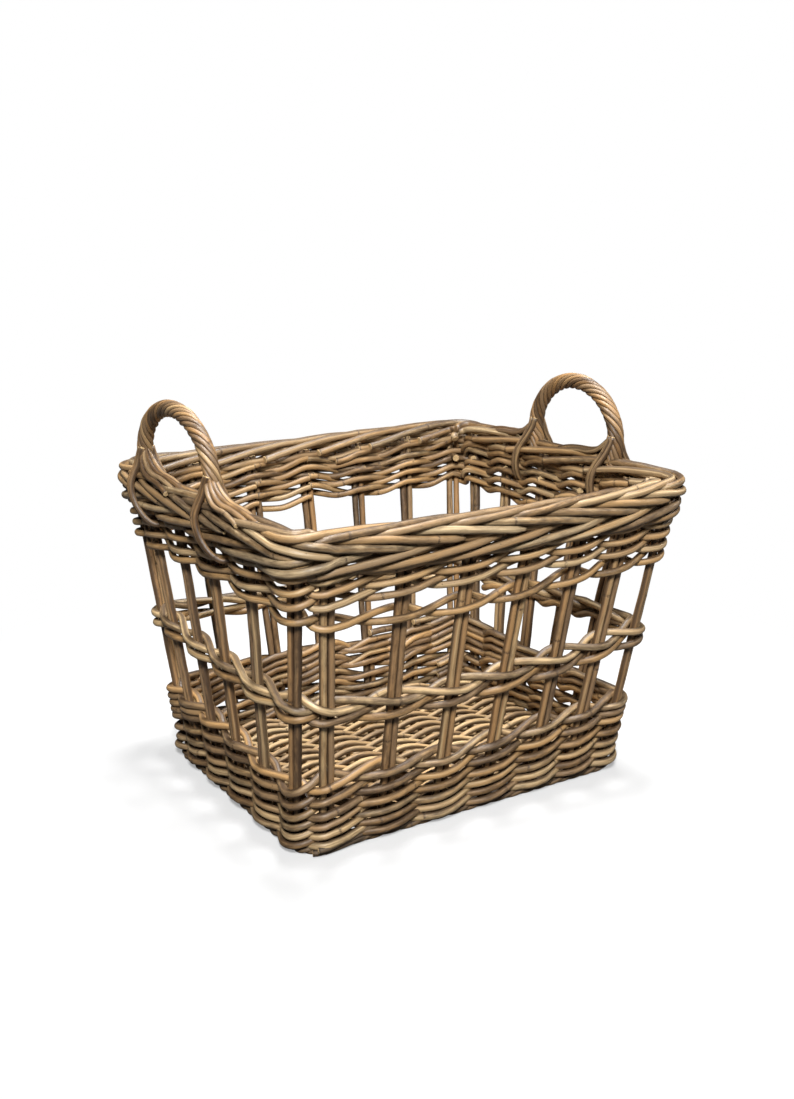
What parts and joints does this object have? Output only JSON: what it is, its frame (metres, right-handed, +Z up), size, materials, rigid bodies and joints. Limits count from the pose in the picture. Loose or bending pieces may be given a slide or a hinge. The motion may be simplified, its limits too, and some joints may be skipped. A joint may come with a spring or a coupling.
{
  "type": "storage basket",
  "caption": "Rectangular open-sided rattan storage basket with woven bands, a rolled border, a woven floor and two fixed roped hoop handles on its short sides.",
  "frame": {"origin": "centre of the basket on the surface it stands on", "axes": "+Z up, X along the long sides, +X towards the handle drawn as right"},
  "size_m": [0.5176, 0.4472, 0.442],
  "materials": {
    "stake_cane": "natural rattan cane with its skin, satin grey-brown",
    "weaver_cane": "natural rattan cane with its skin, satin buff-brown",
    "border_cane": "thick natural rattan cane, satin, knotty",
    "handle_cane": "natural rattan cane twisted to a rope, satin",
    "floor_cane": "paler matt rattan cane, woven",
    "foot_cane": "dark weathered rattan cane, matt"
  },
  "bodies": {
    "root": {"stake_pair_01": "stake_cane", "stake_pair_02": "stake_cane", "stake_pair_03": "stake_cane", "stake_pair_04": "stake_cane", "stake_pair_05": "stake_cane", "stake_pair_06": "stake_cane", "stake_pair_07": "stake_cane", "stake_pair_08": "stake_cane", "stake_pair_09": "stake_cane", "stake_pair_10": "stake_cane", "stake_pair_11": "stake_cane", "stake_pair_12": "stake_cane", "stake_pair_13": "stake_cane", "stake_pair_14": "stake_cane", "stake_pair_15": "stake_cane", "stake_pair_16": "stake_cane", "stake_pair_17": "stake_cane", "stake_pair_18": "stake_cane", "stake_pair_19": "stake_cane", "stake_pair_20": "stake_cane", "stake_pair_21": "stake_cane", "stake_pair_22": "stake_cane", "stake_pair_23": "stake_cane", "stake_pair_24": "stake_cane", "lower_weaver_course_1_a": "weaver_cane", "lower_weaver_course_1_b": "weaver_cane", "lower_weaver_course_2_a": "weaver_cane", "lower_weaver_course_2_b": "weaver_cane", "middle_lower_weaver_a": "weaver_cane", "middle_lower_weaver_b": "weaver_cane", "middle_upper_weaver_a": "weaver_cane", "middle_upper_weaver_b": "weaver_cane", "upper_weaver_course_1_a": "weaver_cane", "upper_weaver_course_1_b": "weaver_cane", "upper_weaver_course_2_a": "weaver_cane", "upper_weaver_course_2_b": "weaver_cane", "upper_weaver_course_3_a": "weaver_cane", "upper_weaver_course_3_b": "weaver_cane", "upper_weaver_course_4_a": "weaver_cane", "upper_weaver_course_4_b": "weaver_cane", "border_cane_1": "border_cane", "border_cane_2": "border_cane", "border_cane_3": "border_cane", "border_cane_4": "border_cane", "foot_border": "foot_cane", "floor_woven_panel": "floor_cane", "floor_stick_1": "floor_cane", "floor_stick_2": "floor_cane", "floor_stick_3": "floor_cane", "floor_stick_4": "floor_cane", "floor_stick_5": "floor_cane", "floor_stick_6": "floor_cane", "floor_stick_7": "floor_cane", "handle_hoop_left": "handle_cane", "handle_lashing_left_front": "handle_cane", "handle_lashing_left_back": "handle_cane", "handle_hoop_right": "handle_cane", "handle_lashing_right_front": "handle_cane", "handle_lashing_right_back": "handle_cane"}
  },
  "joints": []
}
